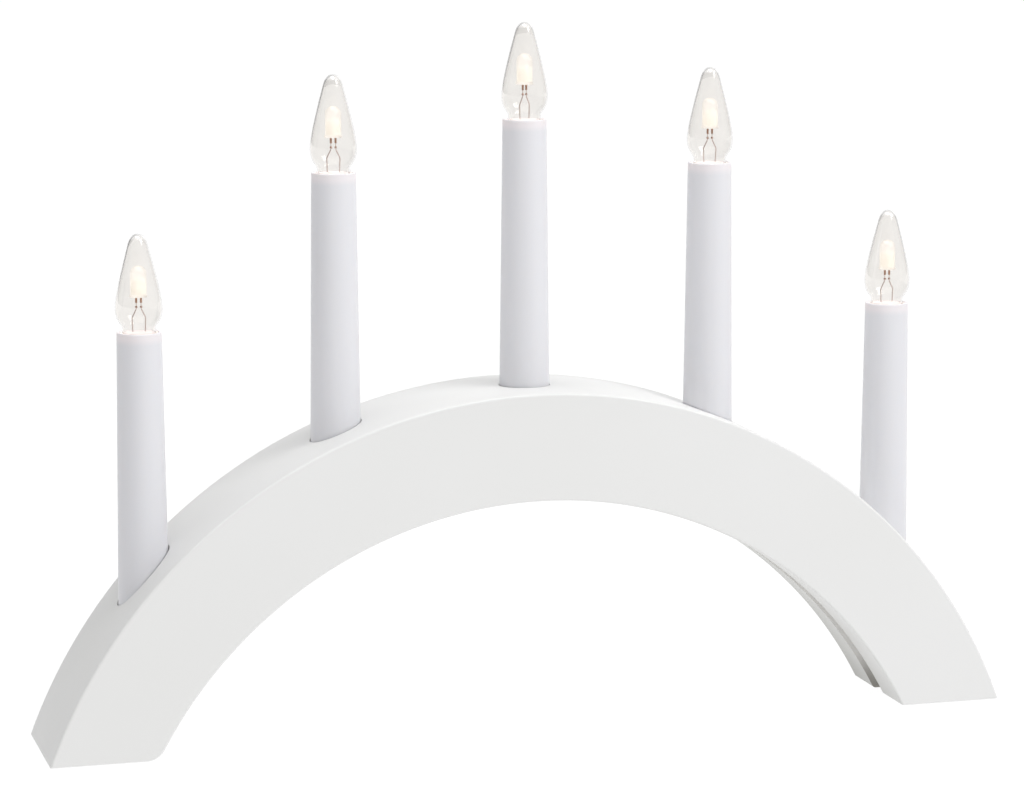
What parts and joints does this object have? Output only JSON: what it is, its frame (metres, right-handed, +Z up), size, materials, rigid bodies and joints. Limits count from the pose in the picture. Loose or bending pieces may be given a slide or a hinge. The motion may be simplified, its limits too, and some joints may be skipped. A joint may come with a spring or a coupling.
{
  "type": "electric candle arch",
  "caption": "Electric candle arch: a painted wooden bow with upright candle tubes, each with a clear flame-shaped screw-in LED bulb, wired through a groove under the bow",
  "frame": {"origin": "on the floor under the middle of the bow, halfway through its depth", "axes": "+X along the bow to the right as seen from the front, +Y to the back, +Z up"},
  "size_m": [0.4, 0.054, 0.2851],
  "materials": {
    "painted_wood": "white satin paint over smooth board, edges eased",
    "candle_plastic": "white moulded plastic with a soft sheen",
    "holder_plastic": "off-white moulded insert",
    "brass": "bare sheet brass",
    "nickel": "nickel-plated sheet",
    "clear_plastic": "clear, polished",
    "diode": "warm white diode lens, lit",
    "lead_metal": "tinned copper-coloured lead wire",
    "wire_cover": "white insulated flex"
  },
  "bodies": {
    "bow": {"front_board": "painted_wood", "core_strip": "painted_wood", "rear_board": "painted_wood", "candle_tube_far_left": "candle_plastic", "lamp_holder_far_left": "holder_plastic", "holder_shell_far_left": "brass", "holder_contact_far_left": "brass", "candle_tube_left": "candle_plastic", "lamp_holder_left": "holder_plastic", "holder_shell_left": "brass", "holder_contact_left": "brass", "candle_tube_centre": "candle_plastic", "lamp_holder_centre": "holder_plastic", "holder_shell_centre": "brass", "holder_contact_centre": "brass", "candle_tube_right": "candle_plastic", "lamp_holder_right": "holder_plastic", "holder_shell_right": "brass", "holder_contact_right": "brass", "candle_tube_far_right": "candle_plastic", "lamp_holder_far_right": "holder_plastic", "holder_shell_far_right": "brass", "holder_contact_far_right": "brass", "link_wire_1": "wire_cover", "link_wire_2": "wire_cover", "link_wire_3": "wire_cover", "link_wire_4": "wire_cover", "supply_wire": "wire_cover", "return_wire": "wire_cover"},
    "bulb_foot_far_left": {"bulb_contact_far_left": "brass"},
    "bulb_far_left": {"bulb_envelope_far_left": "clear_plastic", "bulb_diode_far_left": "diode", "bulb_anode_lead_far_left": "lead_metal", "bulb_cathode_lead_far_left": "lead_metal", "bulb_cap_far_left": "nickel"},
    "bulb_foot_left": {"bulb_contact_left": "brass"},
    "bulb_left": {"bulb_envelope_left": "clear_plastic", "bulb_diode_left": "diode", "bulb_anode_lead_left": "lead_metal", "bulb_cathode_lead_left": "lead_metal", "bulb_cap_left": "nickel"},
    "bulb_foot_centre": {"bulb_contact_centre": "brass"},
    "bulb_centre": {"bulb_envelope_centre": "clear_plastic", "bulb_diode_centre": "diode", "bulb_anode_lead_centre": "lead_metal", "bulb_cathode_lead_centre": "lead_metal", "bulb_cap_centre": "nickel"},
    "bulb_foot_right": {"bulb_contact_right": "brass"},
    "bulb_right": {"bulb_envelope_right": "clear_plastic", "bulb_diode_right": "diode", "bulb_anode_lead_right": "lead_metal", "bulb_cathode_lead_right": "lead_metal", "bulb_cap_right": "nickel"},
    "bulb_foot_far_right": {"bulb_contact_far_right": "brass"},
    "bulb_far_right": {"bulb_envelope_far_right": "clear_plastic", "bulb_diode_far_right": "diode", "bulb_anode_lead_far_right": "lead_metal", "bulb_cathode_lead_far_right": "lead_metal", "bulb_cap_far_right": "nickel"}
  },
  "joints": [
    {"name": "bulb_lift_far_left", "type": "slide", "parent": "bow", "child": "bulb_foot_far_left", "axis": [0, 0, 1], "range_m": [0, 0.00635]},
    {"name": "bulb_turn_far_left", "type": "hinge", "parent": "bulb_foot_far_left", "child": "bulb_far_left", "pos_m": [-0.1572, 0, 0.16658], "axis": [0, 0, 1], "range_deg": [0, 1260]},
    {"name": "bulb_lift_left", "type": "slide", "parent": "bow", "child": "bulb_foot_left", "axis": [0, 0, 1], "range_m": [0, 0.00635]},
    {"name": "bulb_turn_left", "type": "hinge", "parent": "bulb_foot_left", "child": "bulb_left", "pos_m": [-0.0786, 0, 0.22717], "axis": [0, 0, 1], "range_deg": [0, 1260]},
    {"name": "bulb_lift_centre", "type": "slide", "parent": "bow", "child": "bulb_foot_centre", "axis": [0, 0, 1], "range_m": [0, 0.00635]},
    {"name": "bulb_turn_centre", "type": "hinge", "parent": "bulb_foot_centre", "child": "bulb_centre", "pos_m": [0, 0, 0.24653], "axis": [0, 0, 1], "range_deg": [0, 1260]},
    {"name": "bulb_lift_right", "type": "slide", "parent": "bow", "child": "bulb_foot_right", "axis": [0, 0, 1], "range_m": [0, 0.00635]},
    {"name": "bulb_turn_right", "type": "hinge", "parent": "bulb_foot_right", "child": "bulb_right", "pos_m": [0.0786, 0, 0.22717], "axis": [0, 0, 1], "range_deg": [0, 1260]},
    {"name": "bulb_lift_far_right", "type": "slide", "parent": "bow", "child": "bulb_foot_far_right", "axis": [0, 0, 1], "range_m": [0, 0.00635]},
    {"name": "bulb_turn_far_right", "type": "hinge", "parent": "bulb_foot_far_right", "child": "bulb_far_right", "pos_m": [0.1572, 0, 0.16658], "axis": [0, 0, 1], "range_deg": [0, 1260]}
  ],
  "couplings": [
    {"joint": "bulb_lift_far_left", "follows": "bulb_turn_far_left", "m_per_rad": 0.00028871},
    {"joint": "bulb_lift_left", "follows": "bulb_turn_left", "m_per_rad": 0.00028871},
    {"joint": "bulb_lift_centre", "follows": "bulb_turn_centre", "m_per_rad": 0.00028871},
    {"joint": "bulb_lift_right", "follows": "bulb_turn_right", "m_per_rad": 0.00028871},
    {"joint": "bulb_lift_far_right", "follows": "bulb_turn_far_right", "m_per_rad": 0.00028871}
  ]
}
